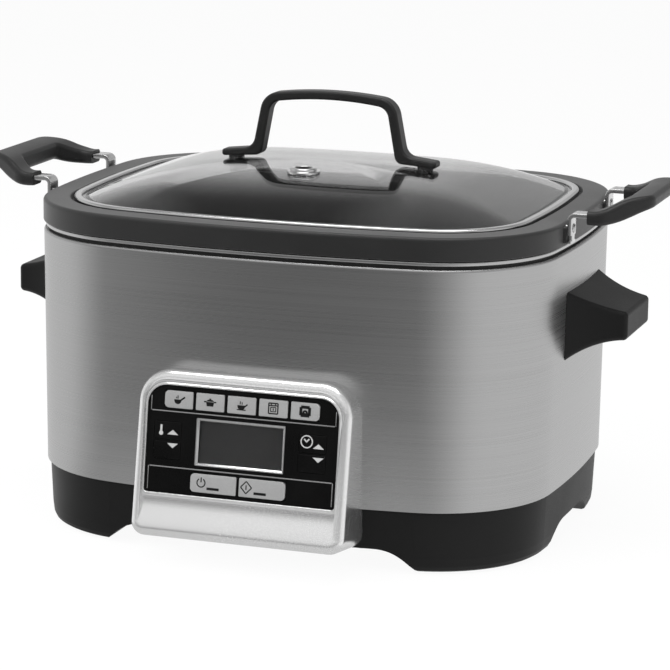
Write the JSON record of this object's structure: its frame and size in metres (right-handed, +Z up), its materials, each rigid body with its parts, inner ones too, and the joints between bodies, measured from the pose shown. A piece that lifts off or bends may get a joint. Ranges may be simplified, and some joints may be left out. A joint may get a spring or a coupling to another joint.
{
  "type": "slow cooker",
  "caption": "Electric slow cooker with a brushed steel housing, a lift-out pot with side grips, a domed glass lid and a tilted key panel with a display.",
  "frame": {"origin": "middle of the object's footprint at the height of the foot pads' undersides", "axes": "+Z up, the key panel faces -Y, the pot's grips lie along X"},
  "size_m": [0.435, 0.3048, 0.2708],
  "materials": {
    "housing_steel": "horizontal brushing",
    "liner_steel": "satin",
    "gasket_black": "matte",
    "black_plastic": "fine grain",
    "pad_rubber": "matte",
    "plate_grey": "plain sheet",
    "screw_steel": "plated",
    "bezel_silver": "satin silver paint",
    "fascia_black": "gloss",
    "trim_silver": "bright silver",
    "window_clear": "clear",
    "lcd_grey": "dark display",
    "board_green": "circuit board",
    "switch_black": "moulded",
    "heater_cast": "cast",
    "element_steel": "heat tinted",
    "wrap_fibre": "fibre blanket",
    "lead_sleeve": "woven sleeve",
    "pot_charcoal": "charcoal coating",
    "strap_steel": "polished",
    "grip_black": "soft satin",
    "lid_glass_clear": "clear",
    "lid_steel": "polished",
    "key_grey": "light grey"
  },
  "bodies": {
    "base": {"outer_shell": "housing_steel", "inner_liner": "liner_steel", "liner_gasket": "gasket_black", "base_skirt": "black_plastic", "foot_pads": "pad_rubber", "bottom_plate": "plate_grey", "base_screws": "screw_steel", "side_handle_right": "black_plastic", "side_handle_left": "black_plastic", "side_handle_screws": "screw_steel", "control_bezel": "bezel_silver", "bezel_screws": "screw_steel", "control_fascia": "fascia_black", "fascia_trim": "trim_silver", "display_frame": "trim_silver", "display_window": "window_clear", "lcd_module": "lcd_grey", "control_board": "board_green", "board_screws": "screw_steel", "key_switches": "switch_black", "heating_plate": "heater_cast", "heating_element": "element_steel", "insulation_wrap": "wrap_fibre", "thermal_fuse": "switch_black", "probe_guide": "heater_cast", "probe_spring": "screw_steel", "power_board": "board_green", "power_components": "switch_black", "terminal_block": "black_plastic", "cord_gland": "black_plastic", "element_leads": "lead_sleeve"},
    "probe": {"temperature_probe": "heater_cast"},
    "pot": {"cooking_pot": "pot_charcoal", "pot_strap_right": "strap_steel", "pot_strap_left": "strap_steel", "strap_rivets": "strap_steel", "pot_grip_right": "grip_black", "pot_grip_left": "grip_black", "grip_screws": "screw_steel"},
    "lid": {"lid_glass": "lid_glass_clear", "lid_rim": "lid_steel", "lid_handle": "grip_black", "lid_handle_bosses": "grip_black", "lid_handle_washers": "pad_rubber", "lid_handle_screws": "screw_steel", "vent_grommet": "lid_steel"},
    "key_saute_body": {"key_saute": "key_grey"},
    "key_slow_cook_body": {"key_slow_cook": "key_grey"},
    "key_steam_body": {"key_steam": "key_grey"},
    "key_bake_body": {"key_bake": "key_grey"},
    "key_roast_body": {"key_roast": "key_grey"},
    "key_power_body": {"key_power": "key_grey"},
    "key_start_body": {"key_start": "key_grey"},
    "key_temp_up_body": {"key_temp_up": "fascia_black"},
    "key_temp_down_body": {"key_temp_down": "fascia_black"},
    "key_time_up_body": {"key_time_up": "fascia_black"},
    "key_time_down_body": {"key_time_down": "fascia_black"}
  },
  "joints": [
    {"name": "pot_lift", "type": "slide", "parent": "base", "child": "pot", "axis": [0, 0, 1], "range_m": [0, 0.15]},
    {"name": "lid_lift", "type": "slide", "parent": "pot", "child": "lid", "axis": [0, 0, 1], "range_m": [0, 0.12]},
    {"name": "probe_slide", "type": "slide", "parent": "base", "child": "probe", "axis": [0, 0, 1], "range_m": [-0.003, 0], "stiffness_N_per_m": 300, "springref_m": 0.004, "deforming": ["probe_spring"]},
    {"name": "key_saute_press", "type": "slide", "parent": "base", "child": "key_saute_body", "axis": [0, 0.9898, -0.1426], "range_m": [0, 0.0008], "stiffness_N_per_m": 600},
    {"name": "key_slow_cook_press", "type": "slide", "parent": "base", "child": "key_slow_cook_body", "axis": [0, 0.9898, -0.1426], "range_m": [0, 0.0008], "stiffness_N_per_m": 600},
    {"name": "key_steam_press", "type": "slide", "parent": "base", "child": "key_steam_body", "axis": [0, 0.9898, -0.1426], "range_m": [0, 0.0008], "stiffness_N_per_m": 600},
    {"name": "key_bake_press", "type": "slide", "parent": "base", "child": "key_bake_body", "axis": [0, 0.9898, -0.1426], "range_m": [0, 0.0008], "stiffness_N_per_m": 600},
    {"name": "key_roast_press", "type": "slide", "parent": "base", "child": "key_roast_body", "axis": [0, 0.9898, -0.1426], "range_m": [0, 0.0008], "stiffness_N_per_m": 600},
    {"name": "key_power_press", "type": "slide", "parent": "base", "child": "key_power_body", "axis": [0, 0.9898, -0.1426], "range_m": [0, 0.0008], "stiffness_N_per_m": 600},
    {"name": "key_start_press", "type": "slide", "parent": "base", "child": "key_start_body", "axis": [0, 0.9898, -0.1426], "range_m": [0, 0.0008], "stiffness_N_per_m": 600},
    {"name": "key_temp_up_press", "type": "slide", "parent": "base", "child": "key_temp_up_body", "axis": [0, 0.9898, -0.1426], "range_m": [0, 0.0008], "stiffness_N_per_m": 600},
    {"name": "key_temp_down_press", "type": "slide", "parent": "base", "child": "key_temp_down_body", "axis": [0, 0.9898, -0.1426], "range_m": [0, 0.0008], "stiffness_N_per_m": 600},
    {"name": "key_time_up_press", "type": "slide", "parent": "base", "child": "key_time_up_body", "axis": [0, 0.9898, -0.1426], "range_m": [0, 0.0008], "stiffness_N_per_m": 600},
    {"name": "key_time_down_press", "type": "slide", "parent": "base", "child": "key_time_down_body", "axis": [0, 0.9898, -0.1426], "range_m": [0, 0.0008], "stiffness_N_per_m": 600}
  ]
}
